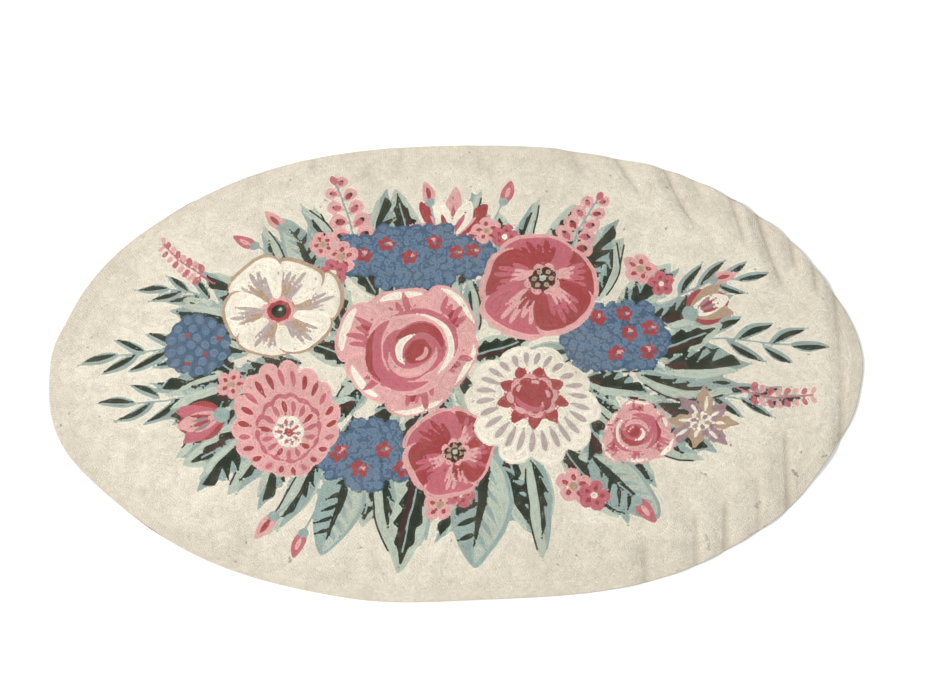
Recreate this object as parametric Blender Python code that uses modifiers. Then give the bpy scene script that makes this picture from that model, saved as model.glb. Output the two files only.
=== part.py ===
"""An oval chain stitch rug lying on a floor: one embroidered cloth, its edge turned under all round.

Run it with blender --background --python part.py, or from Blender's text editor.
Metres, +Z up. The origin is on the floor under the middle of the rug, and +X runs along its length.
"""

import math
from collections import namedtuple

import bmesh
import bpy

LENGTH = 1.524
WIDTH = 0.914
THICKNESS = 0.0045
EDGE_ROUNDING = 0.0016
EDGE_SEGMENTS = 2
EDGE_ANGLE = math.radians(60)
SMOOTH_ANGLE = math.radians(40)
RIM_POINTS = 120
MM = 0.001

# How far the hand-cut rim strays outwards (+) or inwards (-) from a true oval
RimPoint = namedtuple("RimPoint", "bearing_deg out_mm")
RIM = [
    RimPoint(0, 0),
    RimPoint(20, -8),
    RimPoint(40, 7),
    RimPoint(56, 14),
    RimPoint(72, 3),
    RimPoint(92, -6),
    RimPoint(118, 0),
    RimPoint(144, -8),
    RimPoint(168, -9),
    RimPoint(181, 3),
    RimPoint(200, 14),
    RimPoint(218, 3),
    RimPoint(235, 6),
    RimPoint(255, 1),
    RimPoint(274, -10),
    RimPoint(300, 6),
    RimPoint(318, 1),
    RimPoint(335, -12),
    RimPoint(350, -5),
]

# Each fold is a soft ridge. Its line runs from the rug's far rim towards its near one, along the foot
# of the ridge's steep side. The ridge lies to the left of that line as it is seen from the near side.
Fold = namedtuple("Fold", "x_mm y_mm to_x_mm to_y_mm bow_mm height_mm steep_mm gentle_mm fade_in fade_out")
FOLDS = [
    Fold(226, 438, 262, 358, 0, 2.0, 24, 44, 0.0, 0.6),
    Fold(318, 420, 372, 328, -2, 2.4, 24, 46, 0.0, 0.6),
    Fold(414, 398, 476, 254, -4, 3.6, 24, 46, 0.0, 0.5),
    Fold(470, 370, 492, 308, 0, 2.0, 22, 30, 0.0, 0.7),
    Fold(543, 340, 574, 200, 3, 4.0, 24, 44, 0.0, 0.5),
    Fold(590, 304, 631, 128, -3, 5.0, 24, 44, 0.0, 0.45),
    Fold(650, 240, 656, 164, 0, 2.6, 20, 30, 0.0, 0.6),
    Fold(688, 200, 691, 112, 0, 3.0, 20, 28, 0.0, 0.6),
    Fold(724, 160, 702, -165, 7, 4.0, 22, 44, 0.0, 0.0),
    Fold(603, -140, 594, -272, 0, 2.6, 24, 44, 0.6, 0.0),
    Fold(541, -232, 536, -330, 0, 2.0, 22, 34, 0.6, 0.0),
    Fold(484, -262, 473, -368, 0, 2.8, 24, 44, 0.6, 0.0),
    Fold(427, -284, 420, -392, 0, 2.8, 24, 40, 0.6, 0.0),
    Fold(333, -340, 330, -432, 0, 2.0, 24, 40, 0.6, 0.0),
]

# The cloth is scored more closely where folds cross it
Band = namedtuple("Band", "start end step")
SCORES_ALONG_X = [
    Band(-0.72, 0.09, 0.09),
    Band(0.15, 0.76, 0.01),
]
SCORES_ALONG_Y = [
    Band(-0.44, 0.09, 0.032),
    Band(0.1, 0.45, 0.018),
]
SHORTEST_EDGE = 0.0015

WOOL_COLOUR = (0.80, 0.74, 0.62, 1.0)
WOOL_ROUGHNESS = 0.95


def clear_scene():
    for obj in list(bpy.data.objects):
        bpy.data.objects.remove(obj, do_unlink=True)


def new_collection(name):
    collection = bpy.data.collections.new(name)
    bpy.context.scene.collection.children.link(collection)
    return collection


def embroidered_wool():
    material = bpy.data.materials.new("embroidered_wool")
    material.use_nodes = True
    shader = material.node_tree.nodes["Principled BSDF"]
    shader.inputs["Base Color"].default_value = WOOL_COLOUR
    shader.inputs["Roughness"].default_value = WOOL_ROUGHNESS
    shader.inputs["Metallic"].default_value = 0.0
    return material


def eased(share):
    """Rises softly from 0 to 1 and stays there."""
    return math.sin(math.pi / 2 * min(max(share, 0), 1)) ** 2


def stray(bearing):
    """How far the rim stands out at a bearing in degrees, eased from one table row to the next."""
    rows = RIM + [RimPoint(RIM[0].bearing_deg + 360, RIM[0].out_mm)]
    for here, after in zip(rows, rows[1:]):
        if here.bearing_deg <= bearing <= after.bearing_deg:
            share = (bearing - here.bearing_deg) / (after.bearing_deg - here.bearing_deg)
            return (here.out_mm + (after.out_mm - here.out_mm) * eased(share)) * MM
    return 0.0


def rim_point(turn):
    """The place on the rim at a share of a whole turn."""
    angle = 2 * math.pi * turn
    x = LENGTH / 2 * math.cos(angle)
    y = WIDTH / 2 * math.sin(angle)
    grown = 1 + stray(360 * turn) / math.hypot(x, y)
    return x * grown, y * grown


def fold_height(fold, x, y):
    """The height that one fold lifts the cloth at a place."""
    run_x = (fold.to_x_mm - fold.x_mm) * MM
    run_y = (fold.to_y_mm - fold.y_mm) * MM
    length = math.hypot(run_x, run_y)
    from_x = x - fold.x_mm * MM
    from_y = y - fold.y_mm * MM
    along = (from_x * run_x + from_y * run_y) / length ** 2
    bowed = fold.bow_mm * MM * math.sin(math.pi * min(max(along, 0), 1))
    inwards = (run_y * from_x - run_x * from_y) / length + bowed
    steep = fold.steep_mm * MM
    gentle = fold.gentle_mm * MM
    ridge = eased(inwards / steep) * eased((steep + gentle - inwards) / gentle)
    if fold.fade_in:
        ridge *= eased(along / fold.fade_in)
    if fold.fade_out:
        ridge *= eased((1 - along) / fold.fade_out)
    return fold.height_mm * MM * ridge


def lift(x, y):
    return sum(fold_height(fold, x, y) for fold in FOLDS)


def score(mesh, bands, normal):
    """Cuts the flat cloth across, so that it has points where it bends."""
    for band in bands:
        for step in range(round((band.end - band.start) / band.step) + 1):
            at = band.start + step * band.step
            bmesh.ops.bisect_plane(
                mesh,
                geom=mesh.verts[:] + mesh.edges[:] + mesh.faces[:],
                dist=SHORTEST_EDGE,
                plane_co=(at * normal[0], at * normal[1], 0),
                plane_no=normal,
            )


def flat_oval():
    """The oval as a flat face, its middle at the origin, scored for the folds."""
    mesh = bmesh.new()
    bmesh.ops.create_circle(mesh, cap_ends=True, segments=RIM_POINTS, radius=1)
    for vert in mesh.verts:
        turn = math.atan2(vert.co.y, vert.co.x) / (2 * math.pi) % 1
        vert.co.x, vert.co.y = rim_point(turn)
    xs = [vert.co.x for vert in mesh.verts]
    ys = [vert.co.y for vert in mesh.verts]
    middle = ((min(xs) + max(xs)) / 2, (min(ys) + max(ys)) / 2, 0)
    bmesh.ops.translate(mesh, verts=mesh.verts, vec=[-part for part in middle])
    score(mesh, SCORES_ALONG_X, (1, 0, 0))
    score(mesh, SCORES_ALONG_Y, (0, 1, 0))
    bmesh.ops.remove_doubles(mesh, verts=mesh.verts, dist=SHORTEST_EDGE)
    return mesh


def make_rug(collection, material):
    """The cloth: an even sheet whose under side rests on the floor wherever no fold lifts it."""
    mesh = flat_oval()
    bmesh.ops.recalc_face_normals(mesh, faces=mesh.faces)
    under = mesh.faces[:]
    thickened = bmesh.ops.extrude_face_region(mesh, geom=under)
    upper = [item for item in thickened["geom"] if isinstance(item, bmesh.types.BMVert)]
    bmesh.ops.translate(mesh, verts=upper, vec=(0, 0, THICKNESS))
    for vert in mesh.verts:
        vert.co.z += lift(vert.co.x, vert.co.y)
    bmesh.ops.recalc_face_normals(mesh, faces=mesh.faces)
    data = bpy.data.meshes.new("rug")
    mesh.to_mesh(data)
    mesh.free()
    data.materials.append(material)
    rug = bpy.data.objects.new("rug", data)
    collection.objects.link(rug)
    edge = rug.modifiers.new("turned_edge", "BEVEL")
    edge.width = EDGE_ROUNDING
    edge.segments = EDGE_SEGMENTS
    edge.limit_method = "ANGLE"
    edge.angle_limit = EDGE_ANGLE
    data.shade_smooth()
    data.set_sharp_from_angle(angle=SMOOTH_ANGLE)


def main():
    clear_scene()
    collection = new_collection("chain_stitch_rug")
    make_rug(collection, embroidered_wool())


main()
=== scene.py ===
# %% [markdown]
# # An oval rug of wool chain stitch
#
# The real rug is one cotton cloth, covered edge to edge with rows of chain stitch: little linked loops
# of wool, pulled up through the cloth with a hook. Every colour on it is a yarn, and every shape is
# filled by rows that follow its outline. A picture of the rug could be a flat sheet with a pattern
# painted on it. Here the rows are really laid, stitch by stitch, because their direction is what
# makes this kind of rug shimmer.

# %% The frame
import math
from collections import namedtuple

import bmesh
import bpy
import numpy as np
from mathutils import Matrix, Vector


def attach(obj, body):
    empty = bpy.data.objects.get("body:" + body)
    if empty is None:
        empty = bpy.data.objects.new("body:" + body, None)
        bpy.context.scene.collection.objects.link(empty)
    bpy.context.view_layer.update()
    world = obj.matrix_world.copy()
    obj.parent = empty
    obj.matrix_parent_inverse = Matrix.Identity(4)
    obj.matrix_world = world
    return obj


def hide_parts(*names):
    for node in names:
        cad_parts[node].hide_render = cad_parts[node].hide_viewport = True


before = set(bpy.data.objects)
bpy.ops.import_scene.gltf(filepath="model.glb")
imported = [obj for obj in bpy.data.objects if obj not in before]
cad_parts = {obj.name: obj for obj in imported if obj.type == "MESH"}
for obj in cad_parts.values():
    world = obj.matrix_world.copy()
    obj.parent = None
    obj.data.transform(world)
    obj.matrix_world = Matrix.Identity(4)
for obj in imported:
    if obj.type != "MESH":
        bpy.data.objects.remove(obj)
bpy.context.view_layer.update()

MM = 0.001

# %% [markdown]
# ## The camera
#
# The photograph looks down steeply on the rug, from the side where it is nearest. The camera comes
# first, because a rug lying flat changes a lot with the height that it is seen from. It stands at a
# distance along a ray from the point that it aims at, so one angle and one distance set it.

# %% The camera
LENS_MM = 40
ELEVATION = math.radians(70.9)
DISTANCE = 1.957
AIM = Vector((0.0185, 0.014, 0.0))

camera_data = bpy.data.cameras.new("camera")
camera_data.lens = LENS_MM
camera = bpy.data.objects.new("camera", camera_data)
bpy.context.scene.collection.objects.link(camera)
towards = Vector((0, -math.cos(ELEVATION), math.sin(ELEVATION)))
camera.location = AIM + towards * DISTANCE
camera.rotation_euler = towards.to_track_quat("Z", "Y").to_euler()
bpy.context.scene.camera = camera
print("the camera stands at", [round(part, 3) for part in camera.location])

# %% [markdown]
# ## The uneven oval and its folds
#
# The rim was cut and turned by hand, so it strays a few millimetres from a true oval. The same short
# table as in the solid says how far, and a second one says where the cloth is lifted in soft folds.
# Each fold has a line with a ridge on its left, steep beside the line and gentle beyond. The crease
# column is new here: along its line the upper side dips in a soft trough, too fine for the solid.
# The long fold at the right end is also flattened by a share in its middle, and the first four
# folds are too low for the solid.

# %% The rim
LENGTH = 1524
WIDTH = 914
RIM = [
    (0, 0), (20, -8), (40, 7), (56, 14), (72, 3), (92, -6), (118, 0), (144, -8), (168, -9), (181, 3),
    (200, 14), (218, 3), (235, 6), (255, 1), (274, -10), (300, 6), (318, 1), (335, -12), (350, -5),
    (360, 0),
]


def stray(bearing):
    """How far the rim stands out at each bearing in degrees, eased from one row to the next."""
    bearings = np.array([row[0] for row in RIM], float)
    outs = np.array([row[1] for row in RIM], float)
    after = np.clip(np.searchsorted(bearings, bearing, side="right"), 1, len(RIM) - 1)
    share = (bearing - bearings[after - 1]) / (bearings[after] - bearings[after - 1])
    eased = (1 - np.cos(np.pi * share)) / 2
    return outs[after - 1] + (outs[after] - outs[after - 1]) * eased


def rim_at(turn):
    """Points of the rim, in millimetres, at shares of a whole turn."""
    angle = 2 * np.pi * np.asarray(turn, float)
    x = LENGTH / 2 * np.cos(angle)
    y = WIDTH / 2 * np.sin(angle)
    grown = 1 + stray(np.degrees(angle) % 360) / np.hypot(x, y)
    return np.column_stack([x * grown, y * grown])


corners = rim_at(np.arange(120) / 120)
MIDDLE = (corners.min(axis=0) + corners.max(axis=0)) / 2
print("the rim's box is", np.ptp(corners, axis=0).round(1), "mm")

# %% The folds
Fold = namedtuple(
    "Fold", "x y to_x to_y bow height steep gentle fade_in fade_out crease flattened", defaults=(0,))
FOLDS = [
    Fold(-403, 389, -380, 338, 0, 0.5, 20, 30, 0.0, 0.7, 1.2),
    Fold(-292, 421, -278, 367, 0, 0.5, 20, 30, 0.0, 0.7, 1.2),
    Fold(-112, 452, -117, 368, 0, 0.8, 24, 40, 0.0, 0.7, 1.2),
    Fold(42, 455, 50, 365, 0, 0.8, 24, 40, 0.0, 0.7, 0.8),
    Fold(226, 438, 262, 358, 0, 2.0, 24, 44, 0.0, 0.6, 1.2),
    Fold(318, 420, 372, 328, -2, 2.4, 24, 46, 0.0, 0.5, 2.3),
    Fold(414, 398, 476, 254, -4, 3.6, 24, 46, 0.0, 0.35, 2.9),
    Fold(470, 370, 492, 308, 0, 2.0, 22, 30, 0.0, 0.7, 1.2),
    Fold(537, 340, 564, 205, 3, 4.0, 24, 44, 0.0, 0.4, 2.7),
    Fold(590, 304, 632, 122, -3, 5.0, 24, 44, 0.0, 0.25, 2.7),
    Fold(650, 240, 656, 164, 0, 2.6, 20, 30, 0.0, 0.5, 2.8),
    Fold(688, 200, 691, 112, 0, 3.0, 20, 28, 0.0, 0.5, 2.9),
    Fold(724, 160, 702, -165, 7, 4.0, 22, 44, 0.0, 0.0, 2.9, 0.5),
    Fold(603, -132, 594, -272, 0, 2.6, 24, 44, 0.25, 0.0, 2.6),
    Fold(544, -220, 536, -330, 0, 2.0, 22, 34, 0.4, 0.0, 1.8),
    Fold(484, -262, 473, -368, 0, 2.8, 24, 44, 0.3, 0.0, 2.4),
    Fold(427, -284, 420, -392, 0, 2.8, 24, 40, 0.3, 0.0, 2.4),
    Fold(333, -335, 330, -432, 0, 2.0, 24, 40, 0.4, 0.0, 1.8),
]
CREASE_INNER = 9.5
CREASE_OUTER = 15
CREASE_OFFSET = 3


def eased(share):
    return np.sin(np.pi / 2 * np.clip(share, 0, 1)) ** 2


def lift(x, y, creased=True, ridged=True):
    """How far the folds lift the cloth at each place, all in millimetres."""
    total = np.zeros(np.shape(x))
    for fold in FOLDS:
        run_x = fold.to_x - fold.x
        run_y = fold.to_y - fold.y
        length = math.hypot(run_x, run_y)
        along = ((x - fold.x) * run_x + (y - fold.y) * run_y) / length ** 2
        inwards = (run_y * (x - fold.x) - run_x * (y - fold.y)) / length
        inwards = inwards + fold.bow * np.sin(np.pi * np.clip(along, 0, 1))
        ridge = eased(inwards / fold.steep) * eased((fold.steep + fold.gentle - inwards) / fold.gentle)
        risen = fold.height * ridge * ridged
        if creased:
            beside = inwards + CREASE_OFFSET
            trough = eased(1 - np.where(beside > 0, beside / CREASE_INNER, -beside / CREASE_OUTER))
            risen = risen - fold.crease * trough
        if fold.fade_in:
            risen = risen * eased(along / fold.fade_in)
        if fold.fade_out:
            risen = risen * eased((1 - along) / fold.fade_out)
        total += risen * (1 - fold.flattened * np.sin(np.pi * np.clip(along, 0, 1)))
    return total


print(len(FOLDS), "folds, the highest", max(fold.height for fold in FOLDS), "mm")

# %% [markdown]
# ## The yarns
#
# A worker picks each wool from a basket of dyed hanks, so the whole rug has only a few colours. They
# are written as they look in daylight, from 0 to 255, and turned into the linear values that a
# shader wants.

# %% The yarns
YARNS = {
    "ivory": (224, 218, 202),
    "cream": (235, 229, 213),
    "light_pink": (219, 169, 166),
    "rose_pink": (190, 107, 118),
    "red": (163, 71, 73),
    "pale_sage": (184, 194, 180),
    "sage": (152, 171, 166),
    "dark_green": (42, 52, 40),
    "brown": (72, 48, 44),
    "blue": (104, 127, 150),
    "dark_blue": (78, 102, 125),
    "grey_mauve": (182, 168, 164),
    "dusk_purple": (158, 132, 138),
    "tan": (179, 154, 130),
}
YARN_NAMES = list(YARNS)


def linear(colour):
    share = np.array(colour) / 255
    return np.where(share <= 0.04045, share / 12.92, ((share + 0.055) / 1.055) ** 2.4)


print(len(YARNS), "yarns:", ", ".join(YARN_NAMES))

# %% [markdown]
# ## Drawing with patches and rows
#
# The bouquet is drawn the way a pattern drawer inks a cloth before it is worked: from the back to the
# front, each petal or leaf a patch of one yarn over what is there already. A fine line, such as a
# stem, is a single row of stitches. Patches are kept in a list in millimetres, and nothing is a
# picture: every outline comes from a formula with a length, a width and a place for its widest part.

# %% Patches and rows
Patch = namedtuple("Patch", "yarn outline is_row")
PATCHES = []


def turned(points, x=0.0, y=0.0, turn=0.0, size=1.0):
    """Points scaled, turned by degrees and moved."""
    angle = math.radians(turn)
    along = math.cos(angle) * size
    across = math.sin(angle) * size
    points = np.asarray(points, float)
    px = x + points[:, 0] * along - points[:, 1] * across
    py = y + points[:, 0] * across + points[:, 1] * along
    return np.column_stack([px, py])


def patch(yarn, outline, at):
    PATCHES.append(Patch(yarn, turned(outline, *at), False))


def row(yarn, path, at):
    PATCHES.append(Patch(yarn, turned(path, *at), True))


def inside(at, x=0.0, y=0.0, turn=0.0, size=1.0):
    """The place of a detail that is given in a motif's own frame."""
    (px, py), = turned([(x, y)], *at)
    return px, py, at[2] + turn, at[3] * size


# %% Outlines
def petal(length, width, start=0.0, belly=0.6, tip=0.6, bend=0.0):
    """A petal along X: belly is where it is widest, and a low tip value rounds its ends."""
    share = (1 - np.cos(np.linspace(0, math.pi, 13))) / 2
    power = math.log(0.5) / math.log(belly)
    half = width / 2 * np.sin(math.pi * share ** power).clip(0) ** tip
    x = start + share * length
    y = bend * length * share ** 2
    left = np.column_stack([x, y + half])
    right = np.column_stack([x, y - half])
    return np.vstack([left, right[-2:0:-1]])


def toothed(length, width, teeth, depth=0.35, bend=0.0, belly=0.4):
    """A leaf with teeth that lean towards its tip."""
    tooth = np.arange(teeth)
    share = np.sort(np.concatenate([[0, 1], (tooth + 0.15) / teeth, (tooth + 0.95) / teeth]))
    reach = np.concatenate([[0], np.tile([1 - depth, 1], teeth), [0]])
    power = math.log(0.5) / math.log(belly)
    half = width / 2 * np.sin(math.pi * share ** power).clip(0) ** 0.8 * reach
    x = share * length
    y = bend * length * share ** 2
    left = np.column_stack([x, y + half])
    right = np.column_stack([x, y - half])
    return np.vstack([left, right[-2:0:-1]])


def scallop(radius, lobes, depth=0.12):
    """A round with a frilled edge."""
    share = np.linspace(0, 1, lobes * 6 + 1)[:-1]
    wave = np.abs(np.sin(share * lobes * math.pi)) ** 0.6
    reach = radius * (1 - depth + depth * wave)
    angle = 2 * math.pi * share
    return np.column_stack([reach * np.cos(angle), reach * np.sin(angle)])


def disc(radius):
    return scallop(radius, 4, 0)


def crescent(radius, start, end, thick, drift=0.0):
    """An arc that swells in its middle, from one bearing to another."""
    share = np.linspace(0, 1, 13)
    angle = np.radians(start + (end - start) * share)
    half = thick / 2 * np.sin(math.pi * share).clip(0) ** 0.7
    middle = radius + drift * share
    across = np.column_stack([np.cos(angle), np.sin(angle)])
    outer = across * (middle + half)[:, None]
    inner = across * (middle - half)[:, None]
    return np.vstack([outer, inner[-2:0:-1]])


def flame(length, width, tongues=4, start=0.0, depth=0.36):
    """A fan that ends in tongues, as where a worker runs one yarn into the next."""
    turns = np.linspace(-1, 1, 6 * tongues + 1)
    tongue = (turns + 1) / 2 * tongues
    uneven = 1 + 0.1 * np.sin(2.3 * np.floor(tongue) + length)
    reach = (1 - depth + depth * np.abs(np.sin(math.pi * tongue)) ** 0.7) * uneven * (1 - 0.2 * turns ** 2)
    angle = turns * math.atan2(width / 2, length)
    fan = np.column_stack([np.cos(angle), np.sin(angle)]) * (length * reach)[:, None]
    return np.vstack([[0, 0], fan]) + (start, 0)


def comb(length, width, teeth=4, start=0.0):
    """A dark heart of a leaf: one side smooth, the other with long teeth that lean forwards."""
    tooth = np.arange(teeth)
    share = (tooth + 0.2) / teeth * 0.74
    reach = width * np.sin(math.pi * (0.25 + 0.75 * share)) * (1 - share ** 2)
    valleys = np.column_stack([share * length, 0.26 * reach])
    tips = np.column_stack([(share + 0.26) * length, reach])
    teeth_side = np.stack([valleys, tips], axis=1).reshape(-1, 2)
    smooth = [(length, 0), (length * 0.6, -width * 0.2), (length * 0.25, -width * 0.2)]
    return np.vstack([[(0, 0)], teeth_side, smooth]) + (start, 0)


print("a petal has", len(petal(10, 5)), "corners and a flame", len(flame(10, 5)))

# %% [markdown]
# ## Leaves
#
# The leaves are what a bouquet lies on. Most are a pale green patch with a darker one inside it, set a
# little to one side, so that the leaf seems to turn in the light. The toothed ones have a dark
# heart like a comb, with a pale strip beside it and a brown root.

# %% Leaves
def bent(outline, bend, length):
    """An outline along X, curved as far as a petal of that length and bend."""
    curved = np.array(outline, float)
    curved[:, 1] += bend * curved[:, 0] ** 2 / length
    return curved


def midrib(yarn, length, bend, at, start=0.05, end=0.8):
    xs = np.linspace(start * length, end * length, 8)
    row(yarn, bent(np.column_stack([xs, 0 * xs]), bend, length), at)


def almond_leaf(at, length=92, width=26, bend=0.15):
    patch("sage", petal(length, width, belly=0.42, tip=0.85, bend=bend), at)
    sliver = petal(length * 0.86, width * 0.5, length * 0.06, 0.5, 0.9)
    patch("dark_green", bent(sliver - np.array([0, width * 0.11]), bend, length), at)


def plain_leaf(at, length=110, width=34, bend=0.12):
    patch("pale_sage", petal(length, width, belly=0.42, tip=0.8, bend=bend), at)
    shade = petal(length * 0.9, width * 0.42, length * 0.03, 0.45, 0.8)
    patch("sage", bent(shade + np.array([0, width * 0.2]), bend, length), at)
    share = np.linspace(0.12, 0.9, 8)
    edge = np.column_stack([share * length, -width * 0.46 * np.sin(math.pi * share ** 0.8) ** 0.8])
    row("dark_green", bent(edge, bend, length), at)
    patch("dark_green", bent(comb(length * 0.74, width * 0.36, 4, length * 0.06), bend, length), at)


def toothed_leaf(at, length=130, width=58, bend=0.1):
    side = 1 if bend > 0 else -1
    patch("sage", toothed(length, width, 6, 0.34, bend), at)
    pale = petal(length * 0.84, width * 0.34, length * 0.05, 0.45, 0.8) - (0, side * width * 0.17)
    patch("pale_sage", bent(pale, bend, length), at)
    core = comb(length * 0.86, width * 0.56, 4, length * 0.04) * (1, side)
    patch("dark_green", bent(core, bend, length), at)
    root = petal(length * 0.3, width * 0.2, 0, 0.6, 0.8)
    patch("brown", bent(root, bend, length), at)


def dark_leaf(at, length=130, width=54, bend=0.1):
    patch("pale_sage", petal(length, width, belly=0.45, tip=0.75, bend=bend), at)
    core = toothed(length * 0.92, width * 0.84, 5, 0.42, belly=0.45)
    patch("dark_green", bent(core, bend, length), at)
    strip = petal(length * 0.7, width * 0.16, length * 0.1, 0.45, 0.8)
    patch("brown", bent(strip - np.array([0, width * 0.12]), bend, length), at)
    midrib("sage", length, bend, at, 0.08, 0.8)


def two_tone_leaf(at, length=190, width=104, bend=0.1):
    patch("sage", petal(length, width, belly=0.42, tip=0.7, bend=bend), at)
    half = petal(length * 0.94, width * 0.84, 4, 0.42, 0.7)
    half[:, 1] = half[:, 1].clip(0)
    patch("pale_sage", bent(half, bend, length), at)
    for share in (0.14, 0.28, 0.42, 0.56, 0.7):
        for side in (1, -1):
            reach = width * 0.44 * math.sin(math.pi * share ** 0.8)
            root = inside(at, share * length, bend * length * share ** 2, side * 46)
            patch("dark_green" if side < 0 else "sage", petal(reach, 9, 2, 0.4, 1.0), root)
    patch("dark_green", bent(petal(length * 0.88, 17, 0, 0.3, 1.0), bend, length), at)


def spray(at, length=200, bend=-0.15, pairs=3):
    """A stem with pairs of almond leaves and one more at its tip."""
    midrib("sage", length, bend, at, 0, 1)
    for pair in range(pairs):
        share = 0.2 + 0.62 * pair / max(pairs - 1, 1)
        along, across = share * length, bend * length * share ** 2
        lean = math.degrees(math.atan(2 * bend * share))
        size = 1.1 - 0.3 * share
        almond_leaf(inside(at, along, across, lean + 38, size), bend=-0.2)
        almond_leaf(inside(at, along - 14, across, lean - 40, size * 0.9), bend=0.2)
    almond_leaf(inside(at, length, bend * length, math.degrees(math.atan(2 * bend)), 0.85), bend=0.1)


print("leaves: almond, plain, toothed, dark, two-tone and a spray")

# %% [markdown]
# ## Flowers
#
# Each flower is drawn about its middle, 100 from there to its rim, and put in its place at the size it
# needs. A loop lays its petals. A perfect ring of them looks like a stamp, so `leaning` shows the
# flower a little from one side: it moves the heart over and shortens the flower one way.

# %% Round flowers
def ring(count, first=0.0):
    """Evenly spaced bearings, in degrees."""
    return [first + 360 / count * number for number in range(count)]


def rose(at, deep="red", mid="rose_pink", light="light_pink", pale="cream"):
    for bearing, reach in zip(ring(6, 12), (104, 90, 99, 88, 100, 94)):
        here = inside(at, turn=bearing)
        patch(light, petal(reach - 30, 92, 30, 0.64, 0.42), here)
        patch(pale, crescent(reach - 8, -24, 22, 10), here)
        patch(mid, flame(reach - 28, 62, 4, 18), here)
        patch(deep, flame(reach - 44, 34, 3, 18), inside(here, turn=-8))
    patch(light, scallop(67, 5, 0.12), at)
    patch(mid, crescent(56, 95, 268, 21, -4), at)
    patch(deep, crescent(60, 120, 200, 8), at)
    patch(pale, crescent(52, -78, 64, 15, 3), at)
    patch(mid, crescent(58, -52, 92, 9), at)
    patch(mid, scallop(44, 4, 0.1), at)
    patch(light, crescent(35, 155, 335, 14, -6), at)
    patch(deep, crescent(38, -34, 124, 14, -7), at)
    patch(pale, crescent(25, 60, 205, 10, -4), at)
    patch(deep, scallop(19, 3, 0.12), inside(at, 3, -3))
    patch(light, crescent(11, -150, 20, 7), inside(at, 3, -3))


def peony(at, rim="cream", dash="grey_mauve", heart="red", soft="light_pink", mid="rose_pink"):
    patch(rim, scallop(100, 10, 0.13), at)
    for bearing in ring(25):
        patch(dash, petal(32, 9.5, 52, 0.6, 0.6), inside(at, turn=bearing))
    patch(rim, scallop(55, 9, 0.16), at)
    for bearing in ring(9, 10):
        patch(heart, petal(34, 21, 20, 0.5, 0.9), inside(at, turn=bearing))
        patch(mid, petal(17, 8, 24, 0.5, 0.9), inside(at, turn=bearing + 20))
    patch(soft, scallop(37, 8, 0.18), at)
    patch(heart, scallop(30, 7, 0.12), at)
    for bearing in ring(5, 20):
        patch(soft, crescent(8, -50, 80, 6.5), inside(inside(at, turn=bearing), 15))
    patch(mid, crescent(24, 200, 330, 9), at)


def carnation(at, rim="light_pink", dash="red", mid="rose_pink", heart="cream"):
    patch(rim, scallop(100, 14, 0.09), at)
    for number, bearing in enumerate(ring(22)):
        patch(dash if number % 3 else mid, petal(24, 10.5, 66, 0.6, 0.6), inside(at, turn=bearing))
    patch(mid, scallop(60, 13, 0.08), at)
    patch(rim, scallop(54, 12, 0.1), at)
    for number, bearing in enumerate(ring(15, 8)):
        patch(mid if number % 3 else dash, petal(22, 9.5, 28, 0.6, 0.6), inside(at, turn=bearing))
    patch(heart, scallop(28, 6, 0.14), at)
    for number, bearing in enumerate(ring(10, 12)):
        patch("dusk_purple" if number % 2 else mid, petal(14, 6.5, 9, 0.6, 0.8), inside(at, turn=bearing))
    patch(dash, scallop(8, 5, 0.2), at)


def anemone(at, rim="cream", cool="grey_mauve", warm="tan"):
    for bearing, reach in zip(ring(6, -8), (100, 88, 102, 92, 96, 94)):
        here = inside(at, turn=bearing)
        patch(warm, petal(reach - 6, 98, 7, 0.66, 0.4), here)
        patch(rim, petal(reach - 11, 98, 6, 0.66, 0.4), inside(here, turn=1.5))
        patch(cool, flame(reach * 0.78, 62, 5, 4), here)
        patch(warm, flame(reach * 0.6, 30, 3, 4), inside(here, turn=8))
    patch("light_pink", scallop(28, 9, 0.24), at)
    patch("red", scallop(20, 8, 0.12), at)
    patch("dark_green", disc(12.5), at)
    patch("pale_sage", disc(4), inside(at, 3, 3))


def poppy(at, deep="red", mid="rose_pink", light="light_pink"):
    for bearing, reach, full, other in zip(
        ring(5, 20), (96, 102, 92, 100, 94), (deep, mid, deep, mid, deep), (mid, deep, mid, light, mid)
    ):
        here = inside(at, turn=bearing)
        patch(light, petal(reach - 4, 116, 4, 0.68, 0.38), here)
        patch(full, petal(reach - 13, 110, 4, 0.67, 0.38), here)
        patch(other, flame(reach * 0.8, 84, 5, 4), here)
        patch(light if full == deep else deep, flame(reach * 0.56, 46, 4, 4), inside(here, turn=6))
    patch(light, scallop(31, 8, 0.22), at)
    patch("brown", scallop(23, 7, 0.18), at)
    for bearing in ring(6):
        patch("tan", disc(5), inside(inside(at, turn=bearing), 14))
    patch("pale_sage", disc(6), at)


def rosette(at, petals=5, yarn="light_pink", inner="red", eye="tan"):
    """A small open flower, 30 from its middle to its rim."""
    for bearing in ring(petals):
        patch(yarn, petal(26, 25, 4, 0.64, 0.45), inside(at, turn=bearing))
        patch(inner, petal(13, 8.5, 8, 0.5, 0.6), inside(at, turn=bearing))
    patch(eye, disc(7), at)


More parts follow.
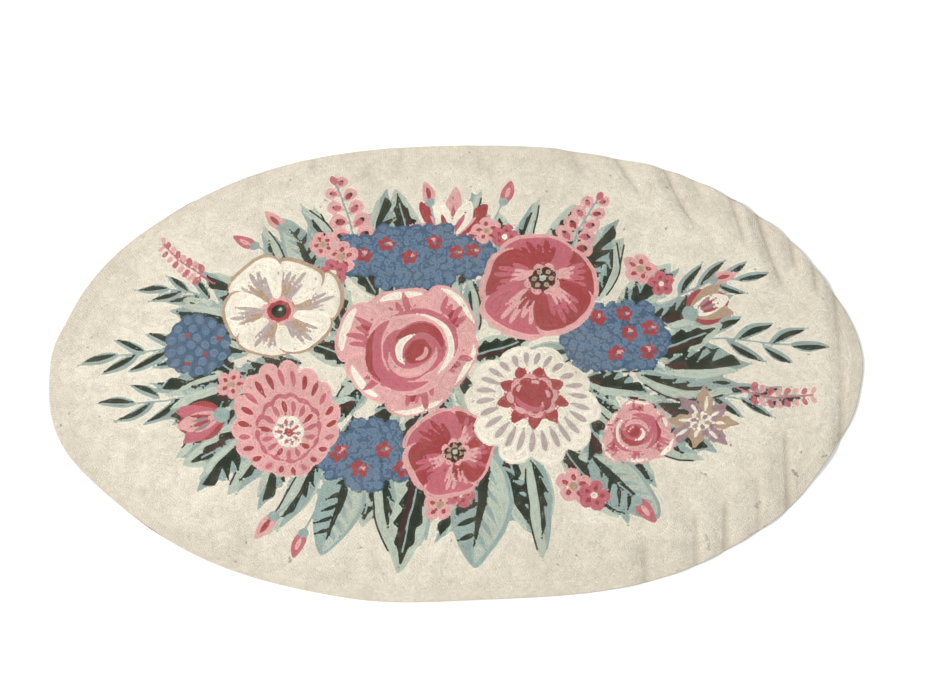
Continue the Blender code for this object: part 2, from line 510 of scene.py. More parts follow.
def iris(at, warm="tan", cool="dusk_purple", pale="cream"):
    """A ragged flower of toothed petals, no two alike."""
    leans = (0, 38, 78, 118, 180, 222, 262, 318)
    for number, (lean, reach) in enumerate(zip(leans, (96, 82, 104, 80, 74, 96, 70, 90))):
        petal_yarn = (warm, cool)[number % 2]
        patch(petal_yarn, toothed(reach, 42, 3, 0.35, 0.14, 0.5), inside(at, turn=lean))
        patch(pale, petal(reach * 0.4, 9, reach * 0.28, 0.5, 0.8), inside(at, turn=lean + 2))
    patch(pale, scallop(26, 7, 0.2), at)
    for number, bearing in enumerate(ring(6)):
        patch(cool if number % 2 else warm, petal(22, 11, 3, 0.6, 0.8), inside(at, turn=bearing))


def leaning(draw, at, lean=(0, 0), flat=1.0, **yarns):
    """Draws a round flower as it looks a little from one side."""
    first = len(PATCHES)
    draw((0, 0, 0, 1), **yarns)
    for index in range(first, len(PATCHES)):
        drawn = PATCHES[index]
        out = np.hypot(*drawn.outline.T) / 100
        shift = (1 - out.clip(0, 1) ** 2)[:, None] * np.array(lean)
        seen = (drawn.outline + shift) * (1, flat)
        PATCHES[index] = drawn._replace(outline=turned(seen, *at))


print("round flowers: rose, peony, carnation, anemone, poppy, rosette and iris")

# %% [markdown]
# ## Flower heads and spikes
#
# Some flowers are many small ones. A blue head is a crowd of four-petalled florets: first a dark round
# for each, then the pale petals over them, so that thin dark lines stay between. The places come from
# a slightly shaken honeycomb with a fixed seed, which gives the same crowd in every run.

# %% Heads and spikes
def blue_mass(middle, half_x, half_y, sparks, seed, step=29.0):
    """A mass of florets inside an oval, with single red ones where the sparks are."""
    shake = np.random.default_rng(seed)
    florets = []
    for line in range(-8, 9):
        for column in range(-12, 13):
            x = (column + 0.5 * (line % 2)) * step + shake.uniform(-3, 3)
            y = line * step * 0.86 + shake.uniform(-3, 3)
            if (x / half_x) ** 2 + (y / half_y) ** 2 < 1:
                florets.append((middle[0] + x, middle[1] + y, shake.uniform(0, 90), 1.0))
    for floret in florets:
        patch("dark_blue", scallop(22, 4, 0.16), floret)
    for floret in florets:
        for bearing in ring(4, 45):
            here = inside(floret, turn=bearing + shake.uniform(-14, 14))
            patch("blue", petal(shake.uniform(14, 19), shake.uniform(11, 17), 2, 0.6, 0.5), here)
            if shake.random() < 0.4:
                patch("dark_blue", crescent(11, -34, 34, 4.5), here)
    for x, y in sparks:
        here = (middle[0] + x, middle[1] + y, 37 * x % 90, 1.0)
        for bearing in ring(5):
            patch("red", petal(15, 13, 2, 0.6, 0.5), inside(here, turn=bearing))
        patch("light_pink", petal(11, 8, 1, 0.6, 0.5), here)


def globe(at, radius=66):
    """A round blue head with rings of small beads."""
    patch("dark_blue", scallop(radius, 14, 0.09), at)
    for share, count in ((0.8, 13), (0.52, 8), (0.22, 4)):
        for bearing in ring(count, 40 * share):
            patch("blue", disc(radius * 0.135), inside(inside(at, turn=bearing), radius * share))
    for bearing, share in ((20, 0.66), (140, 0.4), (250, 0.66), (310, 0.36)):
        patch("red", disc(5), inside(inside(at, turn=bearing), radius * share))


def lily(at):
    """An open lily from the side, its petals fanned out from its root."""
    fan = (
        (64, 80, "light_pink", "red"), (-64, 80, "light_pink", "red"), (36, 98, "red", "light_pink"),
        (-36, 98, "red", "light_pink"), (0, 108, "light_pink", "rose_pink"), (19, 88, "cream", "red"),
        (-19, 88, "cream", "rose_pink"),
    )
    for lean, reach, yarn, mark in fan:
        patch(yarn, petal(reach, 30, 4, 0.58, 0.75), inside(at, turn=lean))
        patch(mark, petal(reach * 0.56, 9, 16, 0.5, 0.9), inside(at, turn=lean))
    patch("sage", petal(30, 28, -8, 0.5, 0.6), at)


def tulip(at, outer="tan", inner="cream", edge="red"):
    """A half-open tulip from the side."""
    patch(edge, petal(100, 84, 0, 0.42, 0.7), at)
    for lean in (15, -15):
        patch(outer, petal(100, 38, 2, 0.5, 0.75, lean / 180), inside(at, turn=lean))
    patch(inner, petal(98, 42, 3, 0.5, 0.75), at)
    for number, lean in enumerate((-13, -4, 5, 14)):
        patch("dusk_purple" if number % 2 else edge, petal(46, 8.5, 26, 0.5, 0.9), inside(at, turn=lean))
    patch("sage", petal(34, 34, -10, 0.45, 0.6), at)


def bell_spike(at, length=150, bells=9):
    """A stem with bells down both sides, smaller towards its tip."""
    midrib("sage", length, 0, at, 0, 1)
    for number in range(bells):
        share = (number + 0.6) / bells
        here = inside(at, share * length, 0, 58 if number % 2 else -58, 1.25 - 0.5 * share)
        patch("light_pink", petal(36, 32, 3, 0.66, 0.45), here)
        patch("rose_pink" if number % 3 else "red", petal(20, 15, 8, 0.6, 0.6), here)
        patch("dark_green", disc(4), inside(here, 26))
    patch("rose_pink", petal(24, 16, 0, 0.5, 0.8), inside(at, length))


def catkin(at, length=130, bend=0.2, beads=8):
    """A hanging row of paired beads on a fine stalk."""
    midrib("rose_pink", length, bend, at, 0, 1)
    for number in range(beads):
        share = 0.22 + 0.76 * number / (beads - 1)
        for side in (1, -1):
            here = inside(at, share * length, bend * length * share ** 2, side * 70 + 12, 1.2 - 0.4 * share)
            patch("light_pink" if number % 2 else "rose_pink", petal(20, 12, 2, 0.6, 0.5), here)


def bud(at, yarn="light_pink", mark="red"):
    """A closed bud on a short stalk."""
    row("sage", [(-34, 0), (-15, 1), (2, 0)], at)
    patch(yarn, petal(50, 23, 0, 0.4, 0.75), at)
    patch(mark, petal(28, 8.5, 10, 0.5, 0.9), at)
    patch("sage", petal(18, 19, -5, 0.5, 0.7), at)


print("heads and spikes: blue mass, globe, lily, tulip, bell spike, catkin and bud")

# %% [markdown]
# ## The bouquet
#
# The bouquet is this lesson's own: ordinary garden flowers, laid out in short tables. Sprays
# and leaves go down first, roots towards the middle, then the small flowers and the blue heads, and
# the big round flowers last. A ring of leaves is placed by its bearing round an oval, which keeps
# them all pointing outwards however the oval is changed.

# %% Leaves of the bouquet
RingLeaf = namedtuple("RingLeaf", "bearing kind length width bend lean")
RING_HALF_X = 365
RING_HALF_Y = 205
RING_MIDDLE = (-25, -6)
RING_LEAVES = [
    RingLeaf(4, dark_leaf, 150, 58, 0.12, 4),
    RingLeaf(14, plain_leaf, 150, 40, -0.2, 16),
    RingLeaf(25, toothed_leaf, 160, 66, 0.1, -6),
    RingLeaf(36, plain_leaf, 140, 40, 0.2, 10),
    RingLeaf(47, toothed_leaf, 150, 62, -0.12, 0),
    RingLeaf(58, dark_leaf, 140, 54, 0.15, -12),
    RingLeaf(67, plain_leaf, 150, 40, -0.18, 6),
    RingLeaf(78, toothed_leaf, 150, 62, 0.14, 8),
    RingLeaf(88, plain_leaf, 140, 38, -0.15, -12),
    RingLeaf(99, dark_leaf, 150, 56, 0.12, 4),
    RingLeaf(110, toothed_leaf, 155, 64, -0.14, -6),
    RingLeaf(121, plain_leaf, 165, 42, 0.18, 4),
    RingLeaf(132, two_tone_leaf, 160, 80, 0.12, -6),
    RingLeaf(143, plain_leaf, 150, 42, -0.2, -4),
    RingLeaf(153, toothed_leaf, 165, 66, 0.12, 6),
    RingLeaf(164, dark_leaf, 150, 56, -0.15, 12),
    RingLeaf(176, plain_leaf, 150, 42, 0.2, -10),
    RingLeaf(187, toothed_leaf, 160, 64, -0.12, 6),
    RingLeaf(199, plain_leaf, 165, 42, 0.2, 0),
    RingLeaf(211, dark_leaf, 160, 60, -0.12, -8),
    RingLeaf(222, toothed_leaf, 165, 68, 0.12, 4),
    RingLeaf(233, plain_leaf, 165, 44, -0.2, 6),
    RingLeaf(243, toothed_leaf, 160, 66, 0.12, -8),
    RingLeaf(253, plain_leaf, 150, 42, 0.18, 8),
    RingLeaf(263, dark_leaf, 160, 58, -0.12, 0),
    RingLeaf(286, toothed_leaf, 165, 66, 0.12, 12),
    RingLeaf(296, plain_leaf, 160, 44, -0.18, 0),
    RingLeaf(307, dark_leaf, 160, 60, 0.12, 6),
    RingLeaf(318, toothed_leaf, 165, 68, -0.12, -6),
    RingLeaf(329, plain_leaf, 160, 42, 0.2, 8),
    RingLeaf(340, toothed_leaf, 165, 66, -0.1, 4),
    RingLeaf(352, plain_leaf, 150, 42, 0.18, -8),
]


def on_ring(bearing, share=1.0):
    """A place on the oval or on a smaller one, and the way that is outwards there."""
    angle = math.radians(bearing)
    x = RING_MIDDLE[0] + RING_HALF_X * share * math.cos(angle)
    y = RING_MIDDLE[1] + RING_HALF_Y * share * math.sin(angle)
    return x, y, math.degrees(math.atan2(math.sin(angle) / RING_HALF_Y, math.cos(angle) / RING_HALF_X))


def ring_leaves():
    vary = np.random.default_rng(23)
    for leaf in RING_LEAVES:
        x, y, outwards = on_ring(leaf.bearing)
        size = vary.uniform(0.96, 1.22)
        leaf.kind((x, y, outwards + leaf.lean, size), leaf.length, leaf.width, leaf.bend)


def filling_leaves():
    """Leaves behind the ring and on smaller ovals, which fill the places between the flowers."""
    vary = np.random.default_rng(17)
    kinds = (dark_leaf, plain_leaf, toothed_leaf)
    for share, count in ((1.0, 24), (0.72, 22), (0.4, 14), (0.12, 6)):
        for number, bearing in enumerate(ring(count, 70 * share)):
            x, y, outwards = on_ring(bearing, share)
            lean = vary.uniform(-30, 30)
            length = vary.uniform(110, 165)
            kinds[number % 3]((x, y, outwards + lean, 1.0), length, 56, vary.uniform(-0.2, 0.2))


# Leaves that show between the flowers: where each one grows from, and which way
TUCKED_LEAVES = [
    (dark_leaf, (-215, 40, 96, 1.0)),
    (toothed_leaf, (-180, -90, 196, 1.0)),
    (dark_leaf, (-40, -110, -62, 1.1)),
    (toothed_leaf, (20, 60, 62, 1.1)),
    (plain_leaf, (30, 40, 86, 1.1)),
    (dark_leaf, (235, 10, 24, 1.0)),
    (toothed_leaf, (240, -40, -20, 1.0)),
    (plain_leaf, (250, -70, -50, 1.0)),
    (dark_leaf, (-150, 120, 122, 1.0)),
    (toothed_leaf, (-200, -180, 250, 1.0)),
    (plain_leaf, (-420, -40, 190, 0.9)),
    (dark_leaf, (-410, -30, 150, 0.9)),
    (toothed_leaf, (30, -190, -110, 1.0)),
    (toothed_leaf, (385, 72, 14, 1.2)),
    (toothed_leaf, (390, -14, -6, 1.25)),
    (toothed_leaf, (370, -90, -34, 1.1)),
    (toothed_leaf, (-400, 62, 163, 1.15)),
    (toothed_leaf, (-400, -66, 196, 1.2)),
    (toothed_leaf, (-370, -150, 222, 1.1)),
    (two_tone_leaf, (-185, -215, 246, 0.85)),
    (two_tone_leaf, (250, -190, -52, 0.85)),
]
SPRAYS = [
    ((-440, 10, 172, 1.0), 190, 0.18),
    ((-430, -60, 204, 0.95), 170, -0.25),
    ((-425, 90, 146, 0.85), 150, 0.25),
    ((420, 30, 6, 1.0), 205, -0.14),
    ((400, -50, -26, 0.95), 180, 0.25),
    ((405, 110, 34, 0.85), 160, -0.25),
]
print(len(RING_LEAVES), "leaves in the ring,", len(TUCKED_LEAVES), "between the flowers")

# %% Flowers of the bouquet
SMALL_ROSETTES = [
    (-225, 205, 10, 1.15), (-262, 232, 40, 0.95), (352, 178, 0, 1.1), (210, -245, 20, 1.1),
    (-418, -52, 0, 0.95), (-30, -282, 15, 1.0), (60, 262, 30, 1.0),
]
DEEP_ROSETTES = [
    (-242, 172, 30, 1.0), (394, 150, 30, 0.9), (246, -262, 0, 0.95), (5, -262, 0, 0.9), (96, 250, 0, 0.9),
]
BUDS = [
    ("light_pink", (-52, 318, 106, 1.1)), ("rose_pink", (88, 322, 66, 1.1)),
    ("light_pink", (-338, 262, 136, 1.15)), ("rose_pink", (-392, 226, 150, 1.05)),
    ("light_pink", (-320, -300, -130, 1.15)), ("rose_pink", (-268, -325, -112, 1.05)),
    ("rose_pink", (318, -272, -48, 1.15)), ("light_pink", (492, 150, 24, 1.05)),
]


def bouquet():
    for at, length, bend in SPRAYS:
        spray(at, length, bend)
    filling_leaves()
    ring_leaves()
    two_tone_leaf((62, -185, -104, 1.1))
    for kind, at in TUCKED_LEAVES:
        kind(at)
    lily((-10, 232, 88, 1.1))
    bell_spike((-190, 220, 110, 1.0), 150)
    bell_spike((215, 215, 62, 0.95), 135)
    tulip((440, 85, 22, 0.9))
    tulip((-430, -110, 200, 0.9), "rose_pink", "light_pink")
    leaning(iris, (440, -128, -10, 0.85), (10, 6), 0.85)
    catkin((520, -62, -20, 1.0), 140, 0.25)
    catkin((-470, 150, 156, 1.0), 130, -0.25)
    for yarn, at in BUDS:
        bud(at, yarn, "red" if yarn == "light_pink" else "light_pink")
    leaning(rose, (335, -150, 200, 0.7), (12, -8), 0.9)
    blue_mass((300, 40), 108, 72, [(-30, 40), (22, 44), (66, 16), (26, 4), (-2, -34), (58, -32)], 3)
    blue_mass((-150, -190), 100, 52, [(-62, 4), (-24, -26), (20, 10), (52, -22)], 5)
    blue_mass((-80, 205), 150, 56, [(-100, 0), (-58, 26), (-14, 2), (34, 30), (78, 6), (112, 14)], 8)
    globe((-490, 22, 0, 1.0), 64)
    for at in SMALL_ROSETTES:
        rosette(at)
    for at in DEEP_ROSETTES:
        rosette(at, 5, "rose_pink", "red", "cream")
    leaning(poppy, (-15, -185, 40, 0.92), (12, -14), 0.88)
    leaning(anemone, (-335, 105, 20, 1.2), (-8, -12), 0.92)
    leaning(carnation, (-315, -120, 100, 1.12), (-26, -4), 0.9)
    leaning(poppy, (155, 140, 0, 1.22), (10, 16), 0.9)
    leaning(peony, (140, -95, -20, 1.26), (-4, 16), 0.92)
    leaning(rose, (-95, 20, 30, 1.42), (8, -12), 0.94)


bouquet()
print(len(PATCHES), "patches of yarn in the bouquet")

# %% [markdown]
# ## From drawing to worked cloth
#
# The inked cloth is a grid of square cells, one millimetre wide, and each cell remembers the last
# patch laid over it. Cells are only a way to ask two questions: whose yarn covers this place, and how
# far is the nearest edge of its patch. A small wobble on every outline stands for the drawer's hand.

# %% The inked cloth
ROW_PITCH = 3.3
EDGE_TURN = 1.6
GROUND = 0
OUTSIDE = -1
HALF_X = LENGTH // 2 + 12
HALF_Y = WIDTH // 2 + 14

cell_x, cell_y = np.meshgrid(np.arange(-HALF_X, HALF_X) + 0.5, np.arange(-HALF_Y, HALF_Y) + 0.5)


def hand_drawn(outline):
    x, y = outline.T
    wobble_x = 2.4 * np.sin(y / 24 + np.sin(x / 43)) + np.sin(y / 9 + 1)
    wobble_y = 2.4 * np.sin(x / 27 + 1.9) + np.sin(x / 10 + 2)
    return outline + np.column_stack([wobble_x, wobble_y])


def ink(cloth, outline, number):
    """Gives a patch's number to every cell whose middle lies inside its outline."""
    low = np.maximum(np.floor(outline.min(axis=0)).astype(int) + (HALF_X, HALF_Y), 0)
    high = np.ceil(outline.max(axis=0)).astype(int) + (HALF_X, HALF_Y)
    window = slice(low[1], high[1]), slice(low[0], high[0])
    x = cell_x[window]
    y = cell_y[window]
    winding = np.zeros(x.shape, np.int16)
    for (ax, ay), (bx, by) in zip(outline, np.roll(outline, -1, axis=0)):
        if ay == by:
            continue
        beside = (y >= min(ay, by)) & (y < max(ay, by))
        beside &= x < ax + (y - ay) * (bx - ax) / (by - ay)
        winding += beside * np.int16(1 if by > ay else -1)
    cloth[window][winding != 0] = number


def strip(start, end):
    """The outline of a single row between two points."""
    along = (end - start) / max(np.hypot(*(end - start)), 1e-6)
    side = np.array([-along[1], along[0]]) * ROW_PITCH / 2
    reach = along * ROW_PITCH / 4
    return np.array([start + side - reach, end + side + reach, end - side + reach, start - side - reach])


bearing = np.arctan2((cell_y + MIDDLE[1]) / WIDTH, (cell_x + MIDDLE[0]) / LENGTH)
rim = rim_at(np.arange(720) / 720)
rim_reach = np.hypot(rim[:, 0], rim[:, 1])
reach_here = np.interp(bearing / (2 * np.pi) % 1, np.arange(721) / 720, np.append(rim_reach, rim_reach[0]))
on_cloth = np.hypot(cell_x + MIDDLE[0], cell_y + MIDDLE[1]) < reach_here - EDGE_TURN

cloth = np.full(cell_x.shape, GROUND, np.int32)
for number, drawn in enumerate(PATCHES, start=1):
    outline = hand_drawn(drawn.outline)
    if drawn.is_row:
        for start, end in zip(outline, outline[1:]):
            ink(cloth, strip(start, end), number)
    else:
        ink(cloth, outline, number)
cloth[~on_cloth] = OUTSIDE
share_inked = (cloth > GROUND).sum() / on_cloth.sum()
print(f"the bouquet covers {share_inked:.0%} of {on_cloth.sum() / 1e6:.2f} square metres")

# %% [markdown]
# ## How the rows run
#
# A worker starts at the edge of a petal and follows it round, row beside row, until the petal is full.
# So a row is a line that keeps one distance from the edge. In the wide ivory ground the rows turn in
# small coins instead, round starting points a few fingers apart. Adding those points to the edges
# gives both with one rule: every row is a contour of the distance to the nearest edge or start.

# %% Distance to the nearest edge
def distance_to(marked, reach):
    """For each cell, how far the nearest marked cell is, in cells, up to a reach."""
    lines = np.arange(marked.shape[0])[:, None]
    before = np.maximum.accumulate(np.where(marked, lines, -reach), axis=0)
    after = np.minimum.accumulate(np.where(marked, lines, lines[-1] + reach)[::-1], axis=0)[::-1]
    up_down = np.minimum(lines - before, after - lines).clip(0, reach).astype(np.float32) ** 2
    nearest = up_down.copy()
    for shift in range(1, reach):
        nearest[:, shift:] = np.minimum(nearest[:, shift:], up_down[:, :-shift] + shift ** 2)
        nearest[:, :-shift] = np.minimum(nearest[:, :-shift], up_down[:, shift:] + shift ** 2)
    return np.sqrt(nearest)


edges = np.zeros(cloth.shape, bool)
differs = cloth[:, 1:] != cloth[:, :-1]
edges[:, 1:] |= differs
edges[:, :-1] |= differs
differs = cloth[1:] != cloth[:-1]
edges[1:] |= differs
edges[:-1] |= differs

COIN_SPACING = 66
COIN_CLEARANCE = 24
from_edge = distance_to(edges, 60)
shaken = np.random.default_rng(11)
room = np.argwhere((cloth == GROUND) & (from_edge > COIN_CLEARANCE))
coins = np.empty((0, 2), int)
for place in room[shaken.permutation(len(room))[:9000]]:
    spacing = COIN_SPACING * shaken.uniform(0.75, 1.1)
    if not len(coins) or np.hypot(*(coins - place).T).min() > spacing:
        coins = np.vstack([coins, place])
starts = edges.copy()
starts[coins[:, 0], coins[:, 1]] = True
from_start = distance_to(starts, 50) + 0.5
print(len(coins), "coins start in the ivory ground")

# %% [markdown]
# The contours are found square by square. Where a whole number of rows lies between the values at a
# square's corners, the row passes through that square, and it enters and leaves through two of its
# sides. Joining squares through the sides they share gives each row as one chain of points.

# %% Contours
def softened(field):
    """Each cell shares a little with its neighbours, which rounds off the steps of the grid."""
    field = np.pad(field, 1, mode="edge")
    field = (field[:-2] + 2 * field[1:-1] + field[2:]) / 4
    return (field[:, :-2] + 2 * field[:, 1:-1] + field[:, 2:]) / 4


def contour_sides(rows_in):
    """The sides that contours cross, as points, and the pairs of sides that a contour joins."""
    corners = np.stack([rows_in[:-1, :-1], rows_in[:-1, 1:], rows_in[1:, 1:], rows_in[1:, :-1]])
    level = np.ceil(corners.min(axis=0))
    line, column = np.nonzero((level <= corners.max(axis=0)) & (level >= 0))
    corners = corners[:, line, column]
    level = level[line, column]
    above = corners >= level
    crossed = above != np.roll(above, -1, axis=0)
    wide = rows_in.shape[1]
    here = line * wide + column
    upright = rows_in.size
    sides = np.stack([here, upright + here + 1, here + wide, upright + here])
    order = np.argsort(~crossed, axis=0, kind="stable")
    square = np.arange(len(line))
    pairs = [np.stack([sides[order[0], square], sides[order[1], square]], axis=1)]
    double = crossed.all(axis=0)
    pairs.append(sides[2:, double].T)
    names, joined = np.unique(np.vstack(pairs), return_inverse=True)
    is_upright = names >= upright
    first = names - upright * is_upright
    second = first + np.where(is_upright, wide, 1)
    flat = rows_in.ravel()
    nearer = np.ceil(np.minimum(flat[first], flat[second]))
    share = ((nearer - flat[first]) / (flat[second] - flat[first])).clip(0, 1)
    x = first % wide + np.where(is_upright, 0, share)
    y = first // wide + np.where(is_upright, share, 0)
    points = np.column_stack([x - HALF_X + 0.5, y - HALF_Y + 0.5])
    return points, joined.reshape(-1, 2)


def chains_of(count, pairs):
    """Follows the joined sides from one to the next, open chains first and then the closed ones."""
    ends = np.concatenate([pairs, pairs[:, ::-1]])
    ends = ends[np.argsort(ends[:, 0], kind="stable")]
    first = np.searchsorted(ends[:, 0], np.arange(count))
    degree = np.diff(np.append(first, len(ends)))
    neighbour = np.full((count, 2), -1)
    neighbour[:, 0] = ends[first, 1]
    twice = degree > 1
    neighbour[twice, 1] = ends[first[twice] + 1, 1]
    neighbour = neighbour.tolist()
    used = [False] * count
    chains = []
    for begin in np.argsort(degree, kind="stable").tolist():
        if used[begin]:
            continue
        chain = [begin]
        used[begin] = True
        step = next((side for side in neighbour[begin] if side >= 0 and not used[side]), None)
        while step is not None:
            used[step] = True
            chain.append(step)
            step = next((side for side in neighbour[step] if side >= 0 and not used[side]), None)
        closed = len(chain) > 2 and begin in neighbour[chain[-1]]
        chains.append(chain + [begin] if closed else chain)
    return chains


rows_in = softened(from_start) / ROW_PITCH - 0.5 + 1e-4
is_row = np.array([False] + [drawn.is_row for drawn in PATCHES])
rows_in[(cloth == OUTSIDE) | is_row[cloth.clip(0)]] = -1
sides, pairs = contour_sides(rows_in)
chains = chains_of(len(sides), pairs)
print(len(chains), "rows of stitches from", len(sides), "points")

# %% [markdown]
# ## Stitches along the rows
#
# Each row is cut into stitches of one length, stretched a little so that a whole number fits. Where
# rows meet at an angle, gaps are left that are too narrow for a row. A worker closes them with single
# stitches, and so does this: the open cells are gathered in small groups, and each group gets one
# stitch along the way it lies.

# %% Stitches
STITCH_LENGTH = 5.2
SHORTEST_ROW = 4.0
shade = np.random.default_rng(29)


def stitches_along(points):
    """Starts and ends of the stitches along a chain of points."""
    steps = np.hypot(*np.diff(points, axis=0).T)
    travelled = np.concatenate([[0], np.cumsum(steps)])
    if travelled[-1] < SHORTEST_ROW:
        return np.empty((0, 4))
    count = max(1, round(travelled[-1] / STITCH_LENGTH))
    closed = np.hypot(*(points[-1] - points[0])) < 0.5
    if closed and count < 4:
        far = np.argmax(np.hypot(*(points - points[0]).T))
        return np.hstack([points[0], points[far]])[None]
    stations = np.linspace(0, travelled[-1], count + 1)
    placed = np.column_stack([np.interp(stations, travelled, side) for side in points.T])
    return np.hstack([placed[:-1], placed[1:]])


def cells_at(x, y):
    column = (np.asarray(x) + HALF_X).astype(int).clip(0, cloth.shape[1] - 1)
    line = (np.asarray(y) + HALF_Y).astype(int).clip(0, cloth.shape[0] - 1)
    return line, column


laid = []
for chain in chains:
    points = sides[chain]
    if len(points) > 2:
        before, after = points[len(points) // 2 - 1], points[len(points) // 2]
        left = (before + after) / 2 + np.array([before[1] - after[1], after[0] - before[0]])
        if rows_in[cells_at(*left)] < rows_in[cells_at(*((before + after) / 2))]:
            points = points[::-1]
    worked = stitches_along(points)
    laid.append(np.column_stack([worked, np.full(len(worked), shade.normal(0, 0.022))]))
for number, drawn in enumerate(PATCHES, start=1):
    if drawn.is_row:
        worked = stitches_along(hand_drawn(drawn.outline))
        middle = (worked[:, :2] + worked[:, 2:]) / 2
        worked = worked[cloth[cells_at(*middle.T)] == number]
        laid.append(np.column_stack([worked, np.full(len(worked), shade.normal(0, 0.022))]))
laid = np.vstack(laid)
print(len(laid), "stitches in rows")

# %% Single stitches in the gaps
GAP_CELLS = 4
OPEN_FROM_ROW = 2.05

covered = np.zeros(cloth.shape, bool)
for share in (0.0, 0.25, 0.5, 0.75, 1.0):
    covered[cells_at(*(laid[:, :2] + (laid[:, 2:4] - laid[:, :2]) * share).T)] = True
opened = (distance_to(covered, 6) > OPEN_FROM_ROW) & (cloth != OUTSIDE)


def gathered(values):
    """Sums over square groups of cells."""
    lines = values.shape[0] // GAP_CELLS * GAP_CELLS
    columns = values.shape[1] // GAP_CELLS * GAP_CELLS
    blocks = values[:lines, :columns].reshape(lines // GAP_CELLS, GAP_CELLS, -1, GAP_CELLS)
    return blocks.sum(axis=(1, 3))


def with_neighbours(sums):
    padded = np.pad(sums, 1)
    return sum(padded[down:down + sums.shape[0], over:over + sums.shape[1]]
               for down in range(3) for over in range(3))


cells = gathered(opened.astype(float))
gap_x = gathered(opened * cell_x)
gap_y = gathered(opened * cell_y)
around = [with_neighbours(part) for part in (
    cells, gap_x, gap_y, gathered(opened * cell_x ** 2), gathered(opened * cell_y ** 2),
    gathered(opened * cell_x * cell_y))]
chosen = cells >= 4
total, sum_x, sum_y, sum_xx, sum_yy, sum_xy = (part[chosen] for part in around)
lean = 0.5 * np.arctan2(2 * (sum_xy - sum_x * sum_y / total),
                        (sum_xx - sum_x ** 2 / total) - (sum_yy - sum_y ** 2 / total))
middle = np.column_stack([gap_x[chosen], gap_y[chosen]]) / cells[chosen][:, None]
half = np.column_stack([np.cos(lean), np.sin(lean)]) * GAP_CELLS * 0.62
singles = np.column_stack([middle - half, middle + half, shade.normal(0, 0.03, len(middle))])
laid = np.vstack([laid, singles])
print(len(singles), "single stitches close the gaps, so", len(laid), "in all")

# %% [markdown]
# ## One stitch
#
# Seen from above, a chain stitch is a loop whose two legs spread from the loop before it and are
# caught by the next. At this size each leg reads as a plump grain of yarn, so one stitch is two
# grains in a V. A grain is a six-sided disc with its middle poked up, stretched along the leg. It
# could have hundreds of faces, but there are tens of thousands of stitches, so twelve have to do.

# %% The stitch
LEG_RISE = 1.3
LEG_LENGTH = 7.6
LEG_THICK = 1.9
LEG_SPREAD = 0.79
LEG_LEAN = math.radians(13)
CLOTH_TOP = 3.2

stitch = bmesh.new()
strand_layer = stitch.loops.layers.uv.new("strand")
for hand in (1, -1):
    made = bmesh.ops.create_circle(stitch, cap_ends=True, segments=6, radius=0.5)
    faces = {face for vert in made["verts"] for face in vert.link_faces}
    poked = bmesh.ops.poke(stitch, faces=list(faces))
    leg = made["verts"] + poked["verts"]
    for face in poked["faces"]:
        for loop in face.loops:
            loop[strand_layer].uv = loop.vert.co.x, loop.vert.co.y * hand
    bmesh.ops.rotate(stitch, verts=leg, matrix=Matrix.Rotation(math.pi / 6, 3, "Z"))
    bmesh.ops.translate(stitch, verts=poked["verts"], vec=(0, 0, LEG_RISE))
    bmesh.ops.scale(stitch, verts=leg, vec=(LEG_LENGTH, LEG_THICK, 1))
    bmesh.ops.rotate(stitch, verts=leg, matrix=Matrix.Rotation(hand * LEG_LEAN, 3, "Z"))
    bmesh.ops.translate(stitch, verts=leg, vec=(0, hand * LEG_SPREAD, 0))
stitch.normal_update()
bmesh.ops.reverse_faces(stitch, faces=[face for face in stitch.faces if face.normal.z < 0])
stitch.verts.index_update()
STITCH_CORNERS = np.array([vert.co for vert in stitch.verts])
STITCH_FACES = np.array([[vert.index for vert in face.verts] for face in stitch.faces])
STITCH_STRAND = np.array([[loop[strand_layer].uv for loop in face.loops] for face in stitch.faces])
stitch.free()
print("one stitch has", len(STITCH_FACES), "faces and", len(STITCH_CORNERS), "corners")

# %% [markdown]
# ## Wool
#
# Hand-spun wool is matt, a little fuzzy and never quite even, and this rug has been walked on. Four
# things make that up. Each row and each stitch has its own tone, kept as an attribute of the mesh.
# Two sizes of noise lay grey-brown soil over everything, and more of it gathers towards the rim; the same
# grey-brown is painted along the creases as painted shade. A fine slanting wave along each leg is the twist
# of the yarn, in the bump only.
# Sheen is the fuzz.

# %% Wool
# The grey-brown below is soil, and the same colour is painted along the crease troughs as painted shade, by
# the share on the next line.
SOIL_AND_CREASE_SHADE = (0.32, 0.255, 0.19, 1.0)
PAINTED_CREASE_SHADE = 0.34


